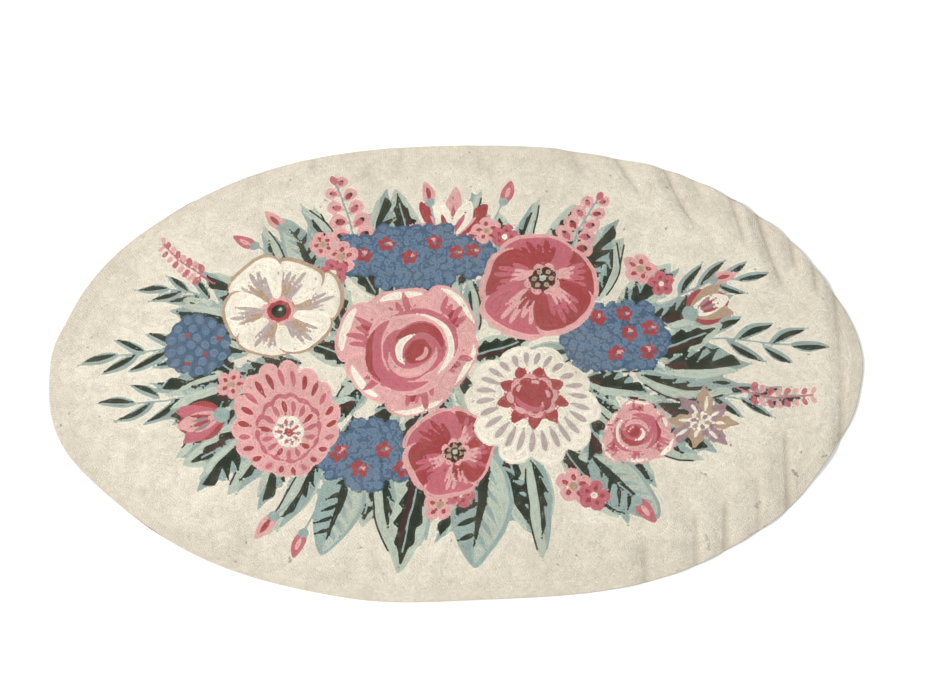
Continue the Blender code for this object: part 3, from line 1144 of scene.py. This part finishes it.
def soil_and_shade_group():
    """How much soil lies at a place: wide clouds, small blotches and more towards the rim, with painted
    shade along the creases.
    """
    group = bpy.data.node_groups.new("soil_and_shade", "ShaderNodeTree")
    group.interface.new_socket("Amount", in_out="OUTPUT", socket_type="NodeSocketFloat")
    nodes, links = group.nodes, group.links
    place = nodes.new("ShaderNodeTexCoord")
    rim_soil_and_crease_shade = nodes.new("ShaderNodeAttribute")
    rim_soil_and_crease_shade.attribute_name = "rim_soil_and_crease_shade"
    parts = []
    for scale, detail, low, high, strength in ((7, 4, 0.42, 0.78, 0.17), (38, 3, 0.5, 0.8, 0.15)):
        cloud = nodes.new("ShaderNodeTexNoise")
        cloud.inputs["Scale"].default_value = scale
        cloud.inputs["Detail"].default_value = detail
        links.new(place.outputs["Object"], cloud.inputs["Vector"])
        spread = nodes.new("ShaderNodeMapRange")
        spread.inputs["From Min"].default_value = low
        spread.inputs["From Max"].default_value = high
        spread.inputs["To Max"].default_value = strength
        links.new(cloud.outputs["Fac"], spread.inputs["Value"])
        parts.append(spread.outputs["Result"])
    both = nodes.new("ShaderNodeMath")
    links.new(parts[0], both.inputs[0])
    links.new(parts[1], both.inputs[1])
    # The mesh attribute adds soil towards the rim and painted shade along the creases.
    by_rim_and_creases = nodes.new("ShaderNodeMath")
    by_rim_and_creases.operation = "MULTIPLY_ADD"
    by_rim_and_creases.inputs[1].default_value = 0.19
    links.new(rim_soil_and_crease_shade.outputs["Fac"], by_rim_and_creases.inputs[0])
    links.new(both.outputs["Value"], by_rim_and_creases.inputs[2])
    out = nodes.new("NodeGroupOutput")
    links.new(by_rim_and_creases.outputs["Value"], out.inputs["Amount"])
    return group


SOIL_AND_SHADE_GROUP = soil_and_shade_group()


def wool(name, colour):
    """Twisted wool of one dye."""
    material = bpy.data.materials.new(name)
    material.use_nodes = True
    nodes, links = material.node_tree.nodes, material.node_tree.links
    shader = nodes["Principled BSDF"]
    shader.inputs["Roughness"].default_value = 0.92
    shader.inputs["Specular IOR Level"].default_value = 0.25
    shader.inputs["Sheen Weight"].default_value = 0.12
    shader.inputs["Sheen Roughness"].default_value = 0.5
    tone = nodes.new("ShaderNodeAttribute")
    tone.attribute_name = "tone"
    dye = nodes.new("ShaderNodeMix")
    dye.data_type = "RGBA"
    dye.blend_type = "MULTIPLY"
    dye.inputs["Factor"].default_value = 1.0
    dye.inputs["A"].default_value = (*linear(colour), 1.0)
    links.new(tone.outputs["Color"], dye.inputs["B"])
    # Soil, with painted shade along the creases, is mixed over the dyed colour.
    soil_and_shade = nodes.new("ShaderNodeGroup")
    soil_and_shade.node_tree = SOIL_AND_SHADE_GROUP
    soiled_and_shaded = nodes.new("ShaderNodeMix")
    soiled_and_shaded.data_type = "RGBA"
    soiled_and_shaded.inputs["B"].default_value = SOIL_AND_CREASE_SHADE
    links.new(soil_and_shade.outputs["Amount"], soiled_and_shaded.inputs["Factor"])
    links.new(dye.outputs["Result"], soiled_and_shaded.inputs["A"])
    links.new(soiled_and_shaded.outputs["Result"], shader.inputs["Base Color"])
    strand = nodes.new("ShaderNodeUVMap")
    strand.uv_map = "strand"
    twist = nodes.new("ShaderNodeTexWave")
    twist.bands_direction = "DIAGONAL"
    twist.inputs["Scale"].default_value = 1.3
    twist.inputs["Distortion"].default_value = 1.5
    twist.inputs["Detail"].default_value = 2
    links.new(strand.outputs["UV"], twist.inputs["Vector"])
    bump = nodes.new("ShaderNodeBump")
    bump.inputs["Strength"].default_value = 0.5
    bump.inputs["Distance"].default_value = 0.0003
    links.new(twist.outputs["Fac"], bump.inputs["Height"])
    links.new(bump.outputs["Normal"], shader.inputs["Normal"])
    return material


print("wool reads tone, trodden and strand from each mesh")

# %% [markdown]
# ## Laying the stitches
#
# The one stitch is copied to every place with array arithmetic, turned along its row and set on the
# cloth at the height of the folds there. One object per yarn keeps each under two hundred thousand
# triangles, and the ivory ground, far the largest, is shared out between four.

# %% Places and tones
Fleck = namedtuple("Fleck", "x y to_x to_y tone")
FLECKS = [
    Fleck(611, -219, 617, -228, 0.5),
    Fleck(543, -275, 539, -284, 0.6),
    Fleck(443, -334, 447, -362, 0.72),
    Fleck(665, -192, 673, -192, 0.6),
    Fleck(627, -183, 629, -185, 0.55),
    Fleck(-293, -377, -292, -381, 0.5),
]
FLECK_REACH = 2.2

x = (laid[:, 0] + laid[:, 2]) / 2
y = (laid[:, 1] + laid[:, 3]) / 2
run = laid[:, 2:4] - laid[:, :2]
length = np.hypot(*run.T).clip(3.0, 7.5)
along = run / np.hypot(*run.T)[:, None]
patch_here = cloth[cells_at(x, y)]
kept = patch_here != OUTSIDE
yarn_of = np.array([YARN_NAMES.index("ivory")] + [YARN_NAMES.index(drawn.yarn) for drawn in PATCHES])
yarn_here = yarn_of[patch_here.clip(0)]
streaks = np.where(yarn_here == YARN_NAMES.index("ivory"), 1.0, 1.9)
tone = 1 + laid[:, 4] * streaks + shade.normal(0, 0.05, len(laid))
specks = shade.random(len(laid)) < 0.0016
tone[specks] *= shade.uniform(0.45, 0.75, specks.sum())
for fleck in FLECKS:
    run_x = fleck.to_x - fleck.x
    run_y = fleck.to_y - fleck.y
    share = (((x - fleck.x) * run_x + (y - fleck.y) * run_y) / (run_x ** 2 + run_y ** 2)).clip(0, 1)
    beside = np.hypot(x - fleck.x - share * run_x, y - fleck.y - share * run_y)
    tone[beside < FLECK_REACH] *= fleck.tone
from_rim = (reach_here - np.hypot(cell_x + MIDDLE[0], cell_y + MIDDLE[1]))[cells_at(x, y)]
# Darker towards the rim as soil, and darker in the crease troughs as painted shade.
rim_soil_and_crease_shade = np.exp(-from_rim.clip(0) / 55) - lift(x, y, ridged=False) * PAINTED_CREASE_SHADE
print(specks.sum(), "stitches are dark specks")


# %% Laying
def bake_map(mesh, corners):
    """A flat map seen from above, named OFBake."""
    low, high = corners[:, :2].min(axis=0), corners[:, :2].max(axis=0)
    flat = (corners[:, :2] - low) / (high - low) * 0.998 + 0.001
    loops = np.empty(len(mesh.loops), np.int32)
    mesh.loops.foreach_get("vertex_index", loops)
    layer = mesh.uv_layers.new(name="OFBake")
    layer.data.foreach_set("uv", flat[loops].ravel())


def lay(name, which, material):
    """One object with the stitches that which picks out."""
    where = np.flatnonzero(which)
    size = np.column_stack([length[where] / STITCH_LENGTH, np.ones((len(where), 2))])
    local = STITCH_CORNERS[None] * size[:, None]
    side = np.column_stack([-along[where, 1], along[where, 0]])
    corners = np.empty_like(local)
    corners[..., 0] = x[where, None] + local[..., 0] * along[where, :1] + local[..., 1] * side[:, :1]
    corners[..., 1] = y[where, None] + local[..., 0] * along[where, 1:] + local[..., 1] * side[:, 1:]
    rise = local[..., 2] * shade.uniform(0.92, 1.08, len(where))[:, None]
    corners[..., 2] = CLOTH_TOP + rise + lift(corners[..., 0], corners[..., 1])
    corners = corners.reshape(-1, 3) * MM
    faces = STITCH_FACES[None] + np.arange(len(where))[:, None, None] * len(STITCH_CORNERS)
    mesh = bpy.data.meshes.new(name)
    mesh.vertices.add(len(corners))
    mesh.vertices.foreach_set("co", corners.ravel())
    mesh.loops.add(faces.size)
    mesh.loops.foreach_set("vertex_index", faces.ravel())
    mesh.polygons.add(faces.size // 3)
    mesh.polygons.foreach_set("loop_start", np.arange(0, faces.size, 3))
    mesh.polygons.foreach_set("use_smooth", np.ones(faces.size // 3, bool))
    strand = mesh.uv_layers.new(name="strand")
    strand.data.foreach_set("uv", np.tile(STITCH_STRAND.ravel(), len(where)))
    bake_map(mesh, corners)
    for kind, values in (("tone", tone), ("rim_soil_and_crease_shade", rim_soil_and_crease_shade)):
        shared = mesh.attributes.new(kind, "FLOAT", "POINT")
        shared.data.foreach_set("value", np.repeat(values[where], len(STITCH_CORNERS)).astype(np.float32))
    mesh.update(calc_edges=True)
    mesh.validate()
    mesh.materials.append(material)
    piece = bpy.data.objects.new(name, mesh)
    bpy.context.scene.collection.objects.link(piece)
    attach(piece, "root")
    return piece


stitched = []
for index, (yarn, colour) in enumerate(YARNS.items()):
    material = wool("wool_" + yarn, colour)
    picked = kept & (yarn_here == index)
    if yarn != "ivory":
        stitched.append(lay("rows_" + yarn, picked, material))
        continue
    borders = np.quantile(x[picked], (0.25, 0.5, 0.75))
    quarter = np.searchsorted(borders, x)
    for number, name in enumerate(("left", "mid_left", "mid_right", "right")):
        stitched.append(lay("ground_rows_" + name, picked & (quarter == number), material))
for piece in stitched:
    print(piece.name, len(piece.data.polygons), "triangles")

# %% [markdown]
# ## The cloth under the stitches
#
# The stitches are worked through one cotton cloth, and that cloth is what lies on the floor. It is a
# grid pressed into the shape of the oval, so that its edge follows the rim, given its thickness by an
# extrusion, with a bevel for the turned edge. Wool hides its upper side, so that side only has to
# carry each yarn's colour into the gaps, darkened there as painted shade, and onto the turned edge,
# lightened there as painted light.

# %% The ground cloth
ACROSS = 180
UPWARDS = 108
HEM_WIDTH = 22
HEM_STEP = 0.8
EDGE_ROUNDING = 1.5


def to_oval(x, y):
    """Presses a square of half-width 1 into the rug's outline."""
    disc_x = x * np.sqrt(1 - y ** 2 / 2)
    disc_y = y * np.sqrt(1 - x ** 2 / 2)
    turn = np.arctan2(disc_y, disc_x) / (2 * np.pi) % 1
    reach = np.hypot(disc_x, disc_y)[:, None]
    return rim_at(turn) * reach - MIDDLE


sheet = bmesh.new()
bmesh.ops.create_grid(sheet, x_segments=ACROSS, y_segments=UPWARDS, size=1)
square = np.array([vert.co for vert in sheet.verts])
pressed = to_oval(square[:, 0], square[:, 1])
for vert, (oval_x, oval_y) in zip(sheet.verts, pressed):
    vert.co.x = oval_x
    vert.co.y = oval_y
thick = bmesh.ops.extrude_face_region(sheet, geom=sheet.faces[:])
upper = {item for item in thick["geom"] if isinstance(item, bmesh.types.BMVert)}
places = np.array([vert.co for vert in sheet.verts])
top = CLOTH_TOP + lift(places[:, 0], places[:, 1])
in_from_rim = reach_here[cells_at(*places[:, :2].T)] - np.hypot(*(places[:, :2] + MIDDLE).T)
bottom = lift(places[:, 0], places[:, 1], creased=False) + HEM_STEP * (in_from_rim > HEM_WIDTH)
for vert, high, low in zip(sheet.verts, top, bottom):
    vert.co.z = high if vert in upper else low
bmesh.ops.scale(sheet, verts=sheet.verts, vec=(MM, MM, MM))
bmesh.ops.recalc_face_normals(sheet, faces=sheet.faces)
rim_edges = [edge for edge in sheet.edges if edge.calc_face_angle(0) > math.radians(60)]
bmesh.ops.bevel(sheet, geom=rim_edges, offset=EDGE_ROUNDING * MM, offset_type="OFFSET", segments=2,
                profile=0.5, affect="EDGES", material=-1)
for vert in sheet.verts:
    vert.co.z = max(vert.co.z, 0)
cloth_mesh = bpy.data.meshes.new("ground_cloth")
sheet.to_mesh(cloth_mesh)
sheet.free()
cloth_mesh.shade_smooth()

corners = np.empty(len(cloth_mesh.vertices) * 3)
cloth_mesh.vertices.foreach_get("co", corners)
corners = corners.reshape(-1, 3)
line, column = cells_at(*(corners[:, :2] * 0.997 / MM).T)
palette = np.array([linear(colour) for colour in YARNS.values()])
dyed = np.column_stack([palette[yarn_of[cloth[line, column].clip(0)]], np.ones(len(corners))])
colours = cloth_mesh.color_attributes.new("yarn_above", "FLOAT_COLOR", "POINT")
colours.data.foreach_set("color", dyed.astype(np.float32).ravel())
inward = reach_here[line, column] - np.hypot(*(corners[:, :2] / MM + MIDDLE).T)
# Soil towards the rim, and painted shade in the crease troughs.
shared = cloth_mesh.attributes.new("rim_soil_and_crease_shade", "FLOAT", "POINT")
in_creases = -lift(*(corners[:, :2] / MM).T, ridged=False) * PAINTED_CREASE_SHADE
shared.data.foreach_set("value", (np.exp(-inward.clip(0) / 55) + in_creases).astype(np.float32))
print("the ground cloth has", len(cloth_mesh.polygons), "faces")

# %% Finishes of the ground cloth
def worked_face(name, share):
    """The upper side: the colour of the yarn above times a share, which darkens it as painted shade in a
    gap and lightens it as painted light on the turned edge.
    """
    material = bpy.data.materials.new(name)
    material.use_nodes = True
    nodes, links = material.node_tree.nodes, material.node_tree.links
    shader = nodes["Principled BSDF"]
    shader.inputs["Roughness"].default_value = 0.95
    shader.inputs["Specular IOR Level"].default_value = 0.2
    above = nodes.new("ShaderNodeAttribute")
    above.attribute_name = "yarn_above"
    soil_and_shade = nodes.new("ShaderNodeGroup")
    soil_and_shade.node_tree = SOIL_AND_SHADE_GROUP
    # The share darkens the yarn colour as painted shade in the gaps and lightens it as painted light on the
    # turned edge.
    painted_light_and_shade = nodes.new("ShaderNodeMix")
    painted_light_and_shade.data_type = "RGBA"
    painted_light_and_shade.blend_type = "MULTIPLY"
    painted_light_and_shade.inputs["Factor"].default_value = 1.0
    painted_light_and_shade.inputs["B"].default_value = (*share, 1.0)
    # Soil, with painted shade along the creases, is mixed over the colour.
    soiled_and_shaded = nodes.new("ShaderNodeMix")
    soiled_and_shaded.data_type = "RGBA"
    soiled_and_shaded.inputs["B"].default_value = SOIL_AND_CREASE_SHADE
    links.new(above.outputs["Color"], painted_light_and_shade.inputs["A"])
    links.new(painted_light_and_shade.outputs["Result"], soiled_and_shaded.inputs["A"])
    links.new(soil_and_shade.outputs["Amount"], soiled_and_shaded.inputs["Factor"])
    links.new(soiled_and_shaded.outputs["Result"], shader.inputs["Base Color"])
    return material


def cotton_back():
    """The under side: plain cotton weave, with the backs of the stitches showing through as dashes."""
    material = bpy.data.materials.new("cotton_back")
    material.use_nodes = True
    nodes, links = material.node_tree.nodes, material.node_tree.links
    shader = nodes["Principled BSDF"]
    shader.inputs["Roughness"].default_value = 0.95
    shader.inputs["Specular IOR Level"].default_value = 0.2
    place = nodes.new("ShaderNodeTexCoord")
    threads = []
    for direction in ("X", "Y"):
        thread = nodes.new("ShaderNodeTexWave")
        thread.bands_direction = direction
        thread.inputs["Scale"].default_value = 260
        thread.inputs["Distortion"].default_value = 0.6
        thread.inputs["Detail"].default_value = 1
        links.new(place.outputs["Object"], thread.inputs["Vector"])
        threads.append(thread.outputs["Fac"])
    weave = nodes.new("ShaderNodeMath")
    weave.operation = "MAXIMUM"
    links.new(threads[0], weave.inputs[0])
    links.new(threads[1], weave.inputs[1])
    canvas = nodes.new("ShaderNodeMix")
    canvas.data_type = "RGBA"
    canvas.inputs["A"].default_value = (0.42, 0.36, 0.27, 1.0)
    canvas.inputs["B"].default_value = (0.66, 0.58, 0.45, 1.0)
    links.new(weave.outputs["Value"], canvas.inputs["Factor"])
    dashes = nodes.new("ShaderNodeTexNoise")
    dashes.inputs["Scale"].default_value = 420
    dashes.inputs["Detail"].default_value = 1
    links.new(place.outputs["Object"], dashes.inputs["Vector"])
    showing = nodes.new("ShaderNodeMapRange")
    showing.inputs["From Min"].default_value = 0.46
    showing.inputs["From Max"].default_value = 0.56
    showing.inputs["To Max"].default_value = 0.55
    links.new(dashes.outputs["Fac"], showing.inputs["Value"])
    above = nodes.new("ShaderNodeAttribute")
    above.attribute_name = "yarn_above"
    through = nodes.new("ShaderNodeMix")
    through.data_type = "RGBA"
    links.new(showing.outputs["Result"], through.inputs["Factor"])
    links.new(canvas.outputs["Result"], through.inputs["A"])
    links.new(above.outputs["Color"], through.inputs["B"])
    links.new(through.outputs["Result"], shader.inputs["Base Color"])
    bump = nodes.new("ShaderNodeBump")
    bump.inputs["Strength"].default_value = 0.5
    bump.inputs["Distance"].default_value = 0.0004
    links.new(weave.outputs["Value"], bump.inputs["Height"])
    links.new(bump.outputs["Normal"], shader.inputs["Normal"])
    return material


# Painted shade in the gaps between rows, at 0.8 of the yarn colour, and painted light on the turned edge,
# at 1.2 of it.
cloth_mesh.materials.append(worked_face("cloth_between_rows_painted_shade", (0.8, 0.78, 0.74)))
cloth_mesh.materials.append(cotton_back())
cloth_mesh.materials.append(worked_face("turned_edge", (1.2, 1.18, 1.14)))
normals = np.empty(len(cloth_mesh.polygons) * 3)
cloth_mesh.polygons.foreach_get("normal", normals)
upright = normals[2::3]
side_of_cloth = np.select([upright < -0.3, upright < 0.85], [1, 2], 0)
cloth_mesh.polygons.foreach_set("material_index", side_of_cloth.astype(np.int32))
ground = bpy.data.objects.new("ground_cloth", cloth_mesh)
bpy.context.scene.collection.objects.link(ground)
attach(ground, "root")
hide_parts("rug")

# %% [markdown]
# ## Floor and light
#
# The photograph shows the rug cut out on white, so the floor is plain and pale. A light on the left
# rakes across the rug and shades the steep sides of its folds, and a wide light overhead keeps the
# colours even.

# %% Floor and light
FLOOR_SIZE = 12
FLOOR_DROP = 0.0004

floor_mesh = bmesh.new()
bmesh.ops.create_grid(floor_mesh, x_segments=1, y_segments=1, size=FLOOR_SIZE / 2)
bmesh.ops.translate(floor_mesh, verts=floor_mesh.verts, vec=(0, 0, -FLOOR_DROP))
floor_data = bpy.data.meshes.new("floor")
floor_mesh.to_mesh(floor_data)
floor_mesh.free()
paint = bpy.data.materials.new("pale_floor")
paint.use_nodes = True
paint.node_tree.nodes["Principled BSDF"].inputs["Base Color"].default_value = (0.93, 0.93, 0.93, 1.0)
paint.node_tree.nodes["Principled BSDF"].inputs["Roughness"].default_value = 0.9
paint.node_tree.nodes["Principled BSDF"].inputs["Specular IOR Level"].default_value = 0.1
floor_data.materials.append(paint)
floor = bpy.data.objects.new("floor", floor_data)
bpy.context.scene.collection.objects.link(floor)

Lamp = namedtuple("Lamp", "name place size watts colour")
LAMPS = [
    Lamp("side_light", (-5.6, -0.6, 4.5), 1.2, 400, (1.0, 0.99, 0.975)),
    Lamp("overhead_light", (1.0, -0.6, 3.6), 3.0, 13, (1.0, 1.0, 1.0)),
]
for lamp in LAMPS:
    data = bpy.data.lights.new(lamp.name, "AREA")
    data.shape = "DISK"
    data.size = lamp.size
    data.energy = lamp.watts
    data.color = lamp.colour
    light = bpy.data.objects.new(lamp.name, data)
    light.location = lamp.place
    light.rotation_euler = Vector(lamp.place).to_track_quat("Z", "Y").to_euler()
    bpy.context.scene.collection.objects.link(light)

world = bpy.data.worlds.new("studio")
world.use_nodes = True
world.node_tree.nodes["Background"].inputs["Color"].default_value = (1.0, 1.0, 1.0, 1.0)
world.node_tree.nodes["Background"].inputs["Strength"].default_value = 0.68
bpy.context.scene.world = world
bpy.context.scene.view_settings.view_transform = "Standard"
print(len(LAMPS), "lamps and a pale room")
